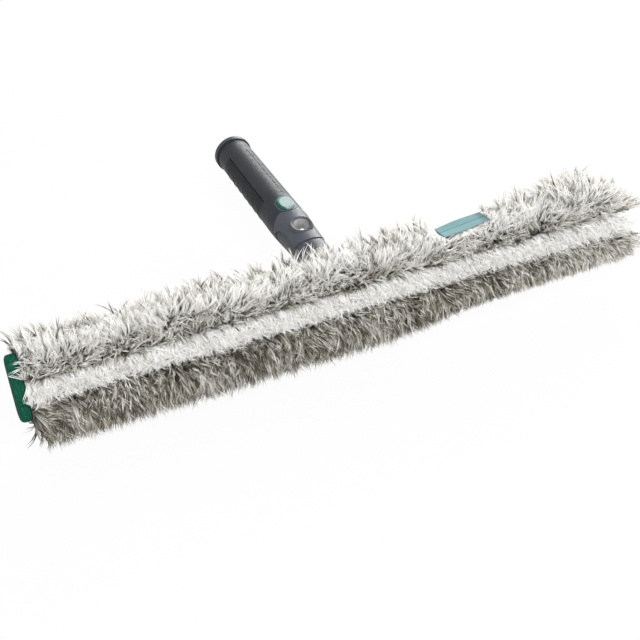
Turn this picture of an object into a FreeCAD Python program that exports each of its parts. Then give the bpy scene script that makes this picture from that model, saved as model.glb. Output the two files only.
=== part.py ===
import FreeCAD, Part
import math
import os

# A window scrubber: a handle with a pole socket, a swivelling T-bar and the pile sleeve that washes the glass.
# The handle lies along Y with the mouth of its pole socket at the origin, and the T-bar lies along X.
# Lengths are in millimetres and angles in degrees. A station is a distance from the socket's mouth.

V = FreeCAD.Vector
X_AXIS = V(1, 0, 0)
Y_AXIS = V(0, 1, 0)
Z_AXIS = V(0, 0, 1)
FULL_TURN = 360.0

# Layout
handle_reach = 212.0  # socket mouth to the middle of the T-bar
swivel_reach = 73.0  # swivel axis to the middle of the T-bar
lock_reach = 29.5  # pole lock to the swivel axis
bar_roll = 28.0  # the T-bar's broad face looks this far up from level
overrun = 1.0  # how far a cut runs past the face that it opens

# Handle outline
grip_end_radius = 14.2
lock_radius = 15.2
head_radius = 13.7
neck_radius = 13.1
lock_land = 10.0  # the outline eases over at this distance to each side of the lock
lock_ease = 0.2

# Pole socket and end collar
socket_radius = 10.5
socket_straight = 40.0
socket_end_radius = 9.2
socket_past_lock = 4.5  # the socket ends this far past the lock
spigot_radius = 12.4
collar_radius = 15.4
collar_length = 4.6
collar_edge = 0.8
collar_groove_width = 1.0
collar_groove_depth = 0.6

# Soft grip, let into the handle between two seams
grip_first_station = 22.0
grip_to_lock = 15.5  # the grip ends this far short of the lock
grip_thickness = 1.8
grip_seam_gap = 0.6
grip_right_seam_angle = 18.0
grip_left_seam_angle = -47.0
grip_rib_count = 7
grip_rib_height = 0.3
grip_rib_width = 4.0
grip_rib_sweep_angle = 170.0
grip_rib_middle_angle = 192.0

# Swivel slot and fork
fork_reach = 18.3
fork_gap = 1.2
slot_half = 6.7
slot_flat_radius = 12.6
slot_rim_radius = 21.0
slot_rim_half = 1.1
slot_shoulder_radius = 17.8
slot_shoulder_half = 5.2
swivel_clearance = 0.3
flank_step = 0.5
flank_half = 7.4

# Pivot
fork_seat = 8.4  # the bolt's head and the nut bear on the fork this far from the middle
bolt_radius = 3.0
bolt_head_radius = 5.2
bolt_head_height = 2.2
pivot_fit = 0.05
nut_across_flats = 9.0
nut_height = 3.6
washer_radius = 10.5
washer_thickness = 0.9
washer_gap = 0.1
rear_cap_radius = 7.6
rear_cap_height = 2.0
rear_cap_edge = 0.8

# Front cover and badge
cover_thickness = 2.0
cover_proud = 0.4
cover_corner_half = 6.2
cover_notch_gap = 0.7
cover_shoulder_share = 0.3  # how far the shoulder bows out from its chord
boss_radius = 9.2
boss_height = 15.3
boss_edge = 2.0
dish_radius = 8.1
dish_depth = 0.7
badge_radius = 6.4
badge_thickness = 1.6
badge_edge = 0.4
badge_proud = 0.2
badge_tilt = 7.0

# Pole lock: a button on a ring plate that hooks the pole's groove from below
button_radius = 6.0
button_straight = 2.6  # half of the straight stretch of its sides, along the handle
button_proud = 1.9
button_edge = 0.9
button_fit = 0.15
button_flange_rim = 0.8
button_flange_height = 1.0
button_travel = 1.6
bezel_rim = 1.3
bezel_proud = 0.4
plate_thickness = 3.0
plate_rim = 2.0
plate_bite = 1.2
plate_spare = 0.3
plate_fit = 0.2
plate_top = 11.7
spring_thickness = 0.4
spring_width = 2.4
spring_span = 12.0
spring_length = 3.0

# T-bar
bar_length = 460.0
bar_height = 44.0
bar_depth = 16.0
bar_wall = 1.6
web_place_share = 0.42  # of the half height, from the middle to each web
web_thickness = 1.4
foot_length = 60.0
foot_thickness = 3.0
foot_screw_span_share = 0.72  # of the foot's length
screw_radius = 1.9
screw_head_radius = 3.4
screw_head_height = 1.8
nut_plate_thickness = 3.0
nut_plate_fit = 0.2
plug_flange = 3.0
plug_spigot = 14.0
plug_fit = 0.1

# Sleeve
sleeve_clearance = 0.5
backing_thickness = 1.0
pile_height = 14.5
pile_sag = 7.0  # the pile hangs lower than the T-bar by this much
pile_end_edge = 5.0
stripe_height = 13.6
stripe_width = 14.8
stripe_drop = 3.0  # the stripe's middle lies this far below the T-bar's
neck_opening_gap = 2.0
foot_opening_gap = 3.0
pad_thickness = 8.0
pad_edge = 1.6
closure_length = 176.0
closure_width = 16.0
closure_layer = 1.2
closure_side_gap = 0.6
slit_width = 1.0
label_length = 38.5
label_start = 81.0
label_width = 16.6
label_thickness = 1.0
label_front = 4.9  # its middle lies this far in front of the bar's middle plane
label_rise = 26.1
label_tilt = 18.2
label_valley_gap = 1.0

# Places worked out from the sizes
bar_y = -handle_reach
swivel_station = handle_reach - swivel_reach
swivel_y = -swivel_station
lock_station = swivel_station - lock_reach
lock_y = -lock_station
socket_depth = lock_station + socket_past_lock
grip_last_station = lock_station - grip_to_lock
grip_start = collar_length + collar_groove_width
bar_end = bar_length / 2
plug_end = bar_end + plug_flange
backing_inside_end = plug_end + sleeve_clearance
sleeve_end = backing_inside_end + backing_thickness
inside_grow = sleeve_clearance
backing_grow = sleeve_clearance + backing_thickness
pile_grow = backing_grow + pile_height
bar_back = bar_depth / 2
backing_back = bar_back + backing_grow
bar_flat_half = (bar_height - bar_depth) / 2
web_place = bar_height / 2 * web_place_share
outer_reach = 2 * collar_radius
pile_reach = bar_height / 2 + pile_grow


def lathe(wire_edges, centre, axis):
    """Turn a closed outline into a solid of revolution."""
    face = Part.Face(Part.Wire(wire_edges))
    return face.revolve(centre, axis, FULL_TURN)


def turned(steps, station):
    """A solid turned about a Z axis at a station, from its radius and height at each step."""
    points = [V(radius, -station, height) for radius, height in steps]
    return lathe(loop(points), V(0, -station, 0), Z_AXIS)


def line(a, b):
    return Part.LineSegment(a, b).toShape()


def arc(a, through, b):
    return Part.Arc(a, through, b).toShape()


def loop(points):
    return [line(a, b) for a, b in zip(points, points[1:] + points[:1])]


def rod(radius, start, end):
    """A round rod from one point to another."""
    run = end - start
    return Part.makeCylinder(radius, run.Length, start, run)


def block(low, high):
    size = high - low
    return Part.makeBox(size.x, size.y, size.z, low)


def prism(edges, low, high):
    """Push an outline that lies level at zero from one height to another."""
    face = Part.Face(Part.Wire(edges))
    face.translate(Z_AXIS * low)
    return face.extrude(Z_AXIS * (high - low))


def export(name, shape):
    shape.exportStep("parts/%s.step" % name)


def tee(shape):
    """Set a shape drawn about the T-bar's own middle into its rolled place."""
    placed = shape.copy()
    placed.rotate(V(0, 0, 0), X_AXIS, -bar_roll)
    placed.translate(V(0, bar_y, 0))
    return placed


# Handle

def handle_form(grow):
    """The outline that the handle, its head and the neck share, grown outward by a skin."""
    neck_station = swivel_station + fork_reach + fork_gap
    stations = (
        (grip_end_radius, grip_start),
        (lock_radius - lock_ease, lock_station - lock_land),
        (lock_radius, lock_station),
        (lock_radius - lock_ease, lock_station + lock_land),
        (head_radius, swivel_station),
        (neck_radius, neck_station),
        (neck_radius, handle_reach),
    )
    points = [V(radius + grow, -station, 0) for radius, station in stations]
    first = V(0, points[0].y, 0)
    last = V(0, points[-1].y, 0)
    return lathe(loop([first] + points + [last]), V(), Y_AXIS)


def slot_form(shrink):
    """The lens that the swivel turns in, made smaller by a clearance."""
    steps = (
        (0, slot_half),
        (slot_flat_radius, slot_half),
        (slot_shoulder_radius - shrink, slot_shoulder_half),
        (slot_rim_radius - shrink, slot_rim_half),
    )
    upper = [(radius, half - shrink) for radius, half in steps]
    lower = [(radius, -height) for radius, height in reversed(upper)]
    return turned(upper + lower, swivel_station)


def turret(radius):
    """A tall round post about the swivel axis."""
    return rod(radius, V(0, swivel_y, -outer_reach), V(0, swivel_y, outer_reach))


def front_of_swivel():
    """Everything on the mouth's side of the swivel axis."""
    return block(V(-outer_reach, swivel_y, -outer_reach), V(outer_reach, overrun, outer_reach))


def bar_side_of_swivel():
    """Everything on the T-bar's side of the swivel axis, down to the back of the T-bar."""
    low = V(-outer_reach, bar_y - pile_reach, -pile_reach)
    room = block(low, V(outer_reach, swivel_y, pile_reach))
    behind = tee(block(V(-outer_reach, bar_back, -pile_reach), V(outer_reach, handle_reach, handle_reach)))
    return room.common(behind)


def socket():
    mouth = V(0, overrun, 0)
    straight_end = V(0, -socket_straight, 0)
    straight = rod(socket_radius, mouth, straight_end)
    taper = Part.makeCone(
        socket_radius, socket_end_radius, socket_depth - socket_straight, straight_end, -Y_AXIS
    )
    return straight.fuse(taper)


def sector(first_angle, last_angle, first_station, last_station):
    """A wedge about the handle's axis, angles from the top towards +X, stations from the mouth."""
    start = math.radians(first_angle)
    corner = V(outer_reach * math.sin(start), -first_station, outer_reach * math.cos(start))
    corners = [V(0, -first_station, 0), corner, corner - Y_AXIS * (last_station - first_station)]
    corners.append(V(0, -last_station, 0))
    face = Part.Face(Part.Wire(loop(corners)))
    return face.revolve(V(), Y_AXIS, last_angle - first_angle)


def grip_wedge(inset):
    """The stretch that the soft grip fills, drawn in from the seams by an inset."""
    inset_angle = math.degrees(inset / lock_radius)
    first = grip_right_seam_angle + inset_angle
    last = grip_left_seam_angle + FULL_TURN - inset_angle
    return sector(first, last, grip_first_station, grip_last_station)


def cover_zone():
    """The shield outline of the front cover, pushed up through the head."""
    notch_radius = button_radius + bezel_rim + cover_notch_gap
    corner_drop = button_straight + math.sqrt(notch_radius**2 - cover_corner_half**2)
    corner = V(cover_corner_half, lock_y - corner_drop, 0)
    side_x = lock_radius + cover_proud + overrun
    side_y = swivel_y + math.sqrt(slot_rim_radius**2 - head_radius**2)
    side = V(side_x, side_y, 0)
    chord = side - corner
    bow = V(-chord.y, chord.x, 0) * cover_shoulder_share
    through = (corner + side) / 2 + bow / 2
    low = V(side_x, swivel_y - fork_reach - overrun, 0)
    notch_bottom = V(0, lock_y - button_straight - notch_radius, 0)

    def mirror(point):
        return V(-point.x, point.y, point.z)

    edges = [
        arc(mirror(corner), notch_bottom, corner),
        arc(corner, through, side),
        line(side, low),
        line(low, mirror(low)),
        line(mirror(low), mirror(side)),
        arc(mirror(side), mirror(through), mirror(corner)),
    ]
    return prism(edges, 0, outer_reach)


def button_prism(grow, low, high):
    """The button's outline, rounded at both ends, grown outward and pushed from one height to another."""
    radius = button_radius + grow
    far = lock_y + button_straight
    near = lock_y - button_straight
    edges = [
        line(V(radius, near, 0), V(radius, far, 0)),
        arc(V(radius, far, 0), V(0, far + radius, 0), V(-radius, far, 0)),
        line(V(-radius, far, 0), V(-radius, near, 0)),
        arc(V(-radius, near, 0), V(0, near - radius, 0), V(radius, near, 0)),
    ]
    return prism(edges, low, high)


def lock_pocket():
    """The room for the button, its ring plate and the spring under it."""
    well = button_prism(bezel_rim, plate_top - button_travel - plate_spare, outer_reach)
    half = Y_AXIS * (plate_thickness / 2 + plate_fit)
    radius = plate_outer_radius() + plate_fit
    rest = V(0, lock_y, plate_rise())
    pressed = rest - Z_AXIS * button_travel
    rings = [rod(radius, centre - half, centre + half) for centre in (rest, pressed)]
    between = block(pressed - half - X_AXIS * radius, rest + half + X_AXIS * radius)
    shoulder_half = X_AXIS * (button_radius + plate_fit)
    shoulder = block(rest - half - shoulder_half, V(shoulder_half.x, lock_y + half.y, plate_top))
    spring_half = V(spring_span / 2 + plate_fit, half.y, 0)
    spring_floor = V(0, lock_y, plate_bottom() - spring_length)
    spring_well = block(spring_floor - spring_half, rest + spring_half)
    return well.fuse(rings + [between, shoulder, spring_well])


def nut_solid():
    """The pivot's hexagon nut."""
    corner_radius = nut_across_flats / 2 / math.cos(math.pi / 6)
    corners = [
        V(corner_radius * math.cos(k * math.pi / 3), swivel_y + corner_radius * math.sin(k * math.pi / 3), 0)
        for k in range(6)
    ]
    return prism(loop(corners), -fork_seat - nut_height, -fork_seat)


def rear_cap_pocket():
    """The round well behind the nut."""
    return rod(rear_cap_radius, V(0, swivel_y, -outer_reach), V(0, swivel_y, -fork_seat - nut_height))


def pivot_hole():
    return rod(bolt_radius, V(0, swivel_y, -outer_reach), V(0, swivel_y, outer_reach))


def make_handle_body():
    fork_zone = front_of_swivel().fuse(turret(fork_reach))
    body = handle_form(0).common(fork_zone)
    spigot = rod(spigot_radius, V(0, 0, 0), V(0, -grip_start - collar_length, 0))
    groove_radius = grip_end_radius - collar_groove_depth
    groove = rod(groove_radius, V(0, -collar_length, 0), V(0, -grip_start - collar_length, 0))
    body = body.fuse([spigot, groove])
    skin = handle_form(overrun).cut(handle_form(cover_proud - cover_thickness))
    grip_bed = handle_form(overrun).cut(handle_form(-grip_thickness)).common(grip_wedge(0))
    head_well = rod(bolt_head_radius, V(0, swivel_y, fork_seat), V(0, swivel_y, outer_reach))
    cuts = [
        slot_form(0),
        socket(),
        lock_pocket(),
        skin.common(cover_zone()),
        grip_bed,
        pivot_hole(),
        head_well,
        nut_solid(),
        rear_cap_pocket(),
    ]
    for tool in cuts:
        body = body.cut(tool)
    return body


def make_end_collar():
    inner = spigot_radius
    points = [
        V(inner, 0, 0),
        V(collar_radius - collar_edge, 0, 0),
        V(collar_radius, -collar_edge, 0),
        V(collar_radius, -collar_length, 0),
        V(inner, -collar_length, 0),
    ]
    return lathe(loop(points), V(), Y_AXIS)


def ribbed_form():
    """The grip's outside with its ribs, turned about the handle's axis."""
    pitch = (grip_last_station - grip_first_station) / grip_rib_count
    outline = [(grip_first_station, 0)]
    for k in range(grip_rib_count):
        start = grip_first_station + k * pitch + (pitch - grip_rib_width) / 2
        end = start + grip_rib_width
        outline += [(start, 0), ((start + end) / 2, grip_rib_height), (end, 0)]
    outline.append((grip_last_station, 0))
    points = [V(grip_radius_at(station) + rise, -station, 0) for station, rise in outline]
    ends = [V(0, -grip_last_station, 0), V(0, -grip_first_station, 0)]
    return lathe(loop(points + ends), V(), Y_AXIS)


def make_grip():
    """The soft grip: a skin flush with the handle, with ribs across its underside."""
    rib_start = grip_rib_middle_angle - grip_rib_sweep_angle / 2
    ribbed_zone = sector(rib_start, rib_start + grip_rib_sweep_angle, grip_first_station, grip_last_station)
    smooth = handle_form(0).common(grip_wedge(grip_seam_gap)).cut(ribbed_zone)
    ribbed = ribbed_form().common(ribbed_zone)
    return smooth.fuse(ribbed).cut(handle_form(-grip_thickness))


def grip_radius_at(station):
    """The handle's radius on the straight taper from its end towards the lock."""
    share = (station - grip_start) / (lock_station - lock_land - grip_start)
    return grip_end_radius + (lock_radius - lock_ease - grip_end_radius) * share


# Head

def badge_seat_tilt(shape):
    """Lean the badge and its boss towards the T-bar."""
    leaned = shape.copy()
    leaned.rotate(V(0, swivel_y, boss_height), X_AXIS, badge_tilt)
    return leaned


def make_boss():
    """The round boss with a shallow dish that frames the badge."""
    top = boss_height
    base = head_radius - cover_thickness
    steps = (
        (0, base),
        (boss_radius, base),
        (boss_radius, top - boss_edge),
        (dish_radius, top),
        (badge_radius, top - dish_depth),
        (0, top - dish_depth),
    )
    return badge_seat_tilt(turned(steps, swivel_station))


def badge_floor():
    return boss_height - dish_depth + badge_proud - badge_thickness


def make_badge():
    """A plain bright disc with a bevelled edge."""
    top = badge_floor() + badge_thickness
    steps = (
        (0, badge_floor()),
        (badge_radius, badge_floor()),
        (badge_radius, top - badge_edge),
        (badge_radius - badge_edge, top),
        (0, top),
    )
    return badge_seat_tilt(turned(steps, swivel_station))


def make_front_cover():
    shell = handle_form(cover_proud).common(cover_zone())
    cover = shell.fuse(make_boss())
    fork_end = front_of_swivel().fuse(turret(fork_reach))
    cover = cover.common(fork_end)
    badge_well = badge_seat_tilt(
        rod(badge_radius, V(0, swivel_y, badge_floor()), V(0, swivel_y, badge_floor() + outer_reach))
    )
    for tool in (handle_form(cover_proud - cover_thickness), slot_form(0), badge_well):
        cover = cover.cut(tool)
    return cover


def make_rear_cap():
    """A bevelled plug over the pivot nut."""
    seat = -fork_seat - nut_height
    end = seat - rear_cap_height
    steps = (
        (0, seat),
        (rear_cap_radius, seat),
        (rear_cap_radius, end + rear_cap_edge),
        (rear_cap_radius - rear_cap_edge, end),
        (0, end),
    )
    return turned(steps, swivel_station)


def make_pivot_bolt():
    bottom = -fork_seat - nut_height
    shank = rod(bolt_radius, V(0, swivel_y, bottom), V(0, swivel_y, fork_seat))
    head_top = fork_seat + bolt_head_height
    head = rod(bolt_head_radius, V(0, swivel_y, fork_seat), V(0, swivel_y, head_top))
    driver = rod(bolt_radius / 2, V(0, swivel_y, head_top - bolt_head_height / 2), V(0, swivel_y, outer_reach))
    return shank.fuse(head).cut(driver)


def make_pivot_nut():
    return nut_solid().cut(pivot_hole())


def washer_seats():
    """The two round recesses that hold the friction washers."""
    face = slot_half - washer_gap
    seats = []
    for side in (1, -1):
        inner = V(0, swivel_y, side * (face - washer_thickness))
        seats.append(rod(washer_radius, inner, V(0, swivel_y, side * face)))
    return seats


def make_swivel_washers():
    bore = turret(bolt_radius + pivot_fit)
    return Part.makeCompound([seat.cut(bore) for seat in washer_seats()])


# Pole lock

def plate_hole_radius():
    return socket_radius_at(lock_station) + plate_spare


def plate_outer_radius():
    return plate_hole_radius() + plate_rim


def plate_rise():
    """How far the ring plate's middle sits above the socket's axis at rest."""
    return plate_bite + plate_spare


def plate_bottom():
    return plate_rise() - plate_outer_radius()


def socket_radius_at(station):
    share = (station - socket_straight) / (socket_depth - socket_straight)
    return socket_radius + (socket_end_radius - socket_radius) * share


def make_lock_plate():
    half = Y_AXIS * (plate_thickness / 2)
    centre = V(0, lock_y, plate_rise())
    ring = rod(plate_outer_radius(), centre - half, centre + half)
    shoulder = block(
        V(-button_radius, lock_y - half.y, plate_rise()), V(button_radius, lock_y + half.y, plate_top)
    )
    hole = rod(plate_hole_radius(), centre - half * 2, centre + half * 2)
    top = block(
        V(-outer_reach, lock_y - outer_reach, plate_top), V(outer_reach, lock_y + outer_reach, outer_reach)
    )
    return ring.fuse(shoulder).cut(hole).cut(top)


def make_lock_button():
    """The push button with its softened rim, and the flange that keeps it in."""
    top = lock_radius + button_proud
    flange_top = plate_top + button_flange_height
    button = button_prism(0, flange_top, top)
    rim = [edge for edge in button.Edges if all(abs(v.Z - top) < overrun for v in edge.Vertexes)]
    button = button.makeChamfer(button_edge, rim)
    return button.fuse(button_prism(button_flange_rim, plate_top, flange_top))


def make_button_bezel():
    """The ring that keeps the button in, trimmed to the handle's curve."""
    low = plate_top + button_flange_height + button_fit
    ring = button_prism(bezel_rim, low, outer_reach)
    bore = button_prism(button_fit, 0, outer_reach + overrun)
    return ring.cut(bore).common(handle_form(bezel_proud))


def make_lock_spring():
    """An arched leaf spring that stands on the pocket's floor and lifts the ring plate."""
    front = Y_AXIS * (lock_y - spring_width / 2)
    foot = V(spring_span / 2, 0, plate_bottom() - spring_length)
    far_foot = V(-foot.x, 0, foot.z)
    crest = V(0, 0, plate_bottom())
    inner_foot = foot - X_AXIS * spring_thickness
    inner_far_foot = V(-inner_foot.x, 0, foot.z)
    inner_crest = crest - Z_AXIS * spring_thickness
    edges = [
        arc(foot, crest, far_foot),
        line(far_foot, inner_far_foot),
        arc(inner_far_foot, inner_crest, inner_foot),
        line(inner_foot, foot),
    ]
    face = Part.Face(Part.Wire(edges))
    face.translate(front)
    return face.extrude(Y_AXIS * spring_width)


# Neck and T-bar

def make_swivel_neck():
    """The lens that turns in the fork, the neck below it and the foot that is screwed to the T-bar."""
    lens = slot_form(swivel_clearance).common(handle_form(-swivel_clearance))
    below = bar_side_of_swivel().cut(turret(fork_reach + fork_gap))
    face_zone = block(V(-outer_reach, bar_y - pile_reach, flank_half), V(outer_reach, swivel_y, pile_reach))
    rear_zone = face_zone.mirror(V(), Z_AXIS)
    core = handle_form(-flank_step).common(below)
    panels = [handle_form(0).common(below).common(zone) for zone in (face_zone, rear_zone)]
    foot_low = V(-foot_length / 2, bar_back, -bar_flat_half)
    foot_high = V(foot_length / 2, bar_back + foot_thickness, bar_flat_half)
    foot = tee(block(foot_low, foot_high))
    neck = lens.fuse([core, foot] + panels)
    for seat in washer_seats():
        neck = neck.cut(seat)
    neck = neck.cut(turret(bolt_radius + pivot_fit))
    for screw in foot_screw_solids():
        neck = neck.cut(screw)
    return neck.removeSplitter()


def chamber_half():
    """Half the height of the bar's central chamber."""
    return web_place - web_thickness / 2


def foot_screw_places():
    across = foot_length / 2 * foot_screw_span_share
    return (-across, across)


def foot_screw_solids():
    """Sunk cheese-head screws through the foot and the bar's wall into the nut plate."""
    screws = []
    top = bar_back + foot_thickness
    tip = bar_back - bar_wall - nut_plate_thickness
    for x in foot_screw_places():
        shank = rod(screw_radius, V(x, tip, 0), V(x, top, 0))
        head = rod(screw_head_radius, V(x, top - screw_head_height, 0), V(x, top, 0))
        screws.append(tee(shank.fuse(head)))
    return screws


def stadium(grow, half_length):
    """The T-bar's rounded section, grown outward, pushed along X to both sides."""
    radius = bar_depth / 2 + grow
    high = bar_flat_half
    points = {
        "front_low": V(-half_length, -radius, -high),
        "front_high": V(-half_length, -radius, high),
        "top": V(-half_length, 0, high + radius),
        "back_high": V(-half_length, radius, high),
        "back_low": V(-half_length, radius, -high),
        "bottom": V(-half_length, 0, -high - radius),
    }
    edges = [
        line(points["front_low"], points["front_high"]),
        arc(points["front_high"], points["top"], points["back_high"]),
        line(points["back_high"], points["back_low"]),
        arc(points["back_low"], points["bottom"], points["front_low"]),
    ]
    return Part.Face(Part.Wire(edges)).extrude(X_AXIS * (2 * half_length))


def make_bar():
    """The extruded bar: a rounded tube with two webs."""
    bar = stadium(0, bar_end)
    inside = stadium(-bar_wall, bar_end + overrun)
    for side in (1, -1):
        places = (side * (web_place - web_thickness / 2), side * (web_place + web_thickness / 2))
        low = V(-bar_length, -bar_depth, min(places))
        high = V(bar_length, bar_depth, max(places))
        inside = inside.cut(block(low, high))
    bar = bar.cut(inside)
    for x in foot_screw_places():
        bar = bar.cut(rod(screw_radius, V(x, 0, 0), V(x, bar_depth, 0)))
    return tee(bar)


def make_nut_plate():
    inside = bar_back - bar_wall
    half_high = chamber_half() - nut_plate_fit
    plate = block(
        V(-foot_length / 2, inside - nut_plate_thickness, -half_high), V(foot_length / 2, inside, half_high)
    )
    plate = tee(plate)
    for screw in foot_screw_solids():
        plate = plate.cut(screw)
    return plate


def make_end_plug(side):
    flange = stadium(0, plug_flange / 2)
    flange.translate(X_AXIS * (side * (bar_end + plug_flange / 2)))
    half_deep = bar_back - bar_wall - plug_fit
    half_high = chamber_half() - plug_fit
    ends = (side * bar_end, side * (bar_end - plug_spigot))
    spigot = block(V(min(ends), -half_deep, -half_high), V(max(ends), half_deep, half_high))
    return tee(flange.fuse(spigot))


# Sleeve

def neck_opening():
    """The hole at the back of the sleeve that the neck and its foot come through."""
    along = rod(neck_radius + neck_opening_gap, V(0, bar_y, 0), V(0, swivel_y, 0))
    foot_half = foot_length / 2 + foot_opening_gap
    foot_high = bar_flat_half + foot_opening_gap
    top = backing_back + foot_thickness
    foot = tee(block(V(-foot_half, 0, -foot_high), V(foot_half, top, foot_high)))
    return along.fuse(foot)


def closure_start():
    return foot_length / 2 + foot_opening_gap + closure_side_gap


def closure_block(low, high, spread):
    """The flat stretch on the back that the closure fills, between two heights over the backing."""
    half = closure_width / 2 + spread
    near = V(closure_start() - spread, backing_back + low, -half)
    far = V(closure_start() + closure_length + spread, backing_back + high, half)
    return block(near, far)


def make_backing():
    """The woven tube on the T-bar, closed at both ends, open at the neck and slit along its closure."""
    tube = stadium(backing_grow, sleeve_end).cut(stadium(inside_grow, backing_inside_end))
    slit = block(
        V(0, 0, -slit_width / 2), V(closure_start() + closure_length, backing_back + overrun, slit_width / 2)
    )
    tube = tee(tube.cut(slit))
    return tube.cut(neck_opening())


def pile_ring(height):
    """The pile at one height all round the backing, sagging, with softened ends."""
    ring = stadium(backing_grow + height, sleeve_end)
    ends = [edge for edge in ring.Edges if len({round(v.X) for v in edge.Vertexes}) == 1]
    ring = ring.makeChamfer(pile_end_edge, ends)
    ring.translate(Z_AXIS * -pile_sag)
    return ring.cut(stadium(backing_grow, sleeve_end + overrun))


def pile_half(side):
    """The pile above or below the white stripe, round to the middle of the back."""
    reach = 2 * pile_reach
    ends = sleeve_end + overrun
    front = (side * stripe_width / 2 - stripe_drop, side * reach)
    rear = (0, side * reach)
    zone = block(V(-ends, -reach, min(front)), V(ends, 0, max(front)))
    zone = zone.fuse(block(V(-ends, 0, min(rear)), V(ends, reach, max(rear))))
    half = pile_ring(pile_height).common(zone)
    half = half.cut(closure_block(0, pile_height + overrun, closure_side_gap))
    half = half.cut(label_valley())
    return tee(half).cut(neck_opening())


def make_stripe():
    low = -stripe_drop - stripe_width / 2
    zone = block(V(-sleeve_end - overrun, -pile_reach, low), V(sleeve_end + overrun, 0, low + stripe_width))
    return tee(pile_ring(stripe_height).common(zone))


def make_closure(layer, spread):
    """One layer of the closure, spread outward at its edges."""
    return tee(closure_block(layer * closure_layer, (layer + 1) * closure_layer, spread))


def make_pad(side):
    """A scouring pad sewn over the sleeve's end."""
    pad = stadium(backing_grow, pad_thickness / 2)
    outer = [edge for edge in pad.Edges if all(v.X * side > 0 for v in edge.Vertexes)]
    pad = pad.makeChamfer(pad_edge, outer)
    pad.translate(X_AXIS * (side * (sleeve_end + pad_thickness / 2)))
    return tee(pad)


def on_label(shape):
    """Set a shape drawn level about the label's middle line into the label's place over the T-bar."""
    placed = shape.copy()
    placed.rotate(V(0, 0, 0), X_AXIS, label_tilt)
    placed.translate(V(label_start, -label_front, label_rise))
    return placed


def label_valley():
    """The stretch that the label keeps free of pile, above its underside."""
    low = V(-label_valley_gap, -pile_reach, -label_thickness / 2)
    return on_label(block(low, V(label_length + label_valley_gap, pile_reach, pile_reach)))


def make_label():
    """A bare fabric tab that lies in the pile on its crest."""
    half = V(0, label_width / 2, label_thickness / 2)
    return tee(on_label(block(-half, half + X_AXIS * label_length)))


def main():
    os.makedirs("parts", exist_ok=True)
    pieces = {
        "handle_body": make_handle_body(),
        "end_collar": make_end_collar(),
        "grip_overmould": make_grip(),
        "front_cover": make_front_cover(),
        "badge_disc": make_badge(),
        "rear_cap": make_rear_cap(),
        "pivot_bolt": make_pivot_bolt(),
        "pivot_nut": make_pivot_nut(),
        "swivel_washers": make_swivel_washers(),
        "pole_lock_button": make_lock_button(),
        "button_bezel": make_button_bezel(),
        "lock_plate": make_lock_plate(),
        "lock_spring": make_lock_spring(),
        "swivel_neck": make_swivel_neck(),
        "foot_screws": Part.makeCompound(foot_screw_solids()),
        "bar_profile": make_bar(),
        "nut_plate": make_nut_plate(),
        "end_plug_left": make_end_plug(-1),
        "end_plug_right": make_end_plug(1),
        "sleeve_backing": make_backing(),
        "pile_upper": pile_half(1),
        "pile_lower": pile_half(-1),
        "pile_stripe": make_stripe(),
        "closure_loop_strip": make_closure(0, 0),
        "closure_hook_strip": make_closure(1, 0),
        "closure_flap": make_closure(2, closure_side_gap / 2),
        "scrub_pad_left": make_pad(-1),
        "scrub_pad_right": make_pad(1),
        "label_tab": make_label(),
    }
    for name, shape in pieces.items():
        export(name, shape)


main()
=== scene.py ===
import math
from collections import namedtuple

import bmesh
import bpy
import numpy as np
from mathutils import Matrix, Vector


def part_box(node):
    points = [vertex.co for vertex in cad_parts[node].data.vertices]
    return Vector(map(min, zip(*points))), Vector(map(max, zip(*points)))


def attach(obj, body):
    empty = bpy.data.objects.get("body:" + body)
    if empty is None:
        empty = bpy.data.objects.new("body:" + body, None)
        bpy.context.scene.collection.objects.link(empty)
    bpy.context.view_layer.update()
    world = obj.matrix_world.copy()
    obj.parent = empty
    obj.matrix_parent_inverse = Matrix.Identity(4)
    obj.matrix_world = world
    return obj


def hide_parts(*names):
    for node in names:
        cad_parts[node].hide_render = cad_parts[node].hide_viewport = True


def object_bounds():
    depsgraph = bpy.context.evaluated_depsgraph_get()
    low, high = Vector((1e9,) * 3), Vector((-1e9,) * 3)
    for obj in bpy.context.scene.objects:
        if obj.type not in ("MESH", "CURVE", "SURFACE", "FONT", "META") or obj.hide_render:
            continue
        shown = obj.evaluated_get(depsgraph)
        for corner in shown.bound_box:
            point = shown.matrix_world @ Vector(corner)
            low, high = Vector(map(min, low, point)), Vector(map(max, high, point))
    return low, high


# Looks of the window scrubber. Sleeve sizes are in millimetres in the bar's own coordinates:
# along the bar, out of its back, and up its broad side. to_frame() sets them into the frame.
# Sizes of the stage and depths of relief are in metres, and noise scales are per metre.

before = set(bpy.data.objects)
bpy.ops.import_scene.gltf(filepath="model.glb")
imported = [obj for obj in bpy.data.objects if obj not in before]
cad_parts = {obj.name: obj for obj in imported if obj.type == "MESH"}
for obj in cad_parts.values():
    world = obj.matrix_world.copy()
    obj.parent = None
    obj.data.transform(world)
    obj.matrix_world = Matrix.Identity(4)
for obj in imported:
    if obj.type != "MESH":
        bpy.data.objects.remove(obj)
cad_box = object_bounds()

SEED = 7
MM = 0.001
BAKE_MAP = "OFBake"

# Camera
CAMERA_AZIMUTH = math.radians(-25.29)
CAMERA_ELEVATION = math.radians(38.875)
CAMERA_DISTANCE = 0.9459
CAMERA_LENS = 73.85
CAMERA_CLIP = 0.01
CAMERA_TARGET = Vector((-0.01939, -0.2126, -0.01752))

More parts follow.
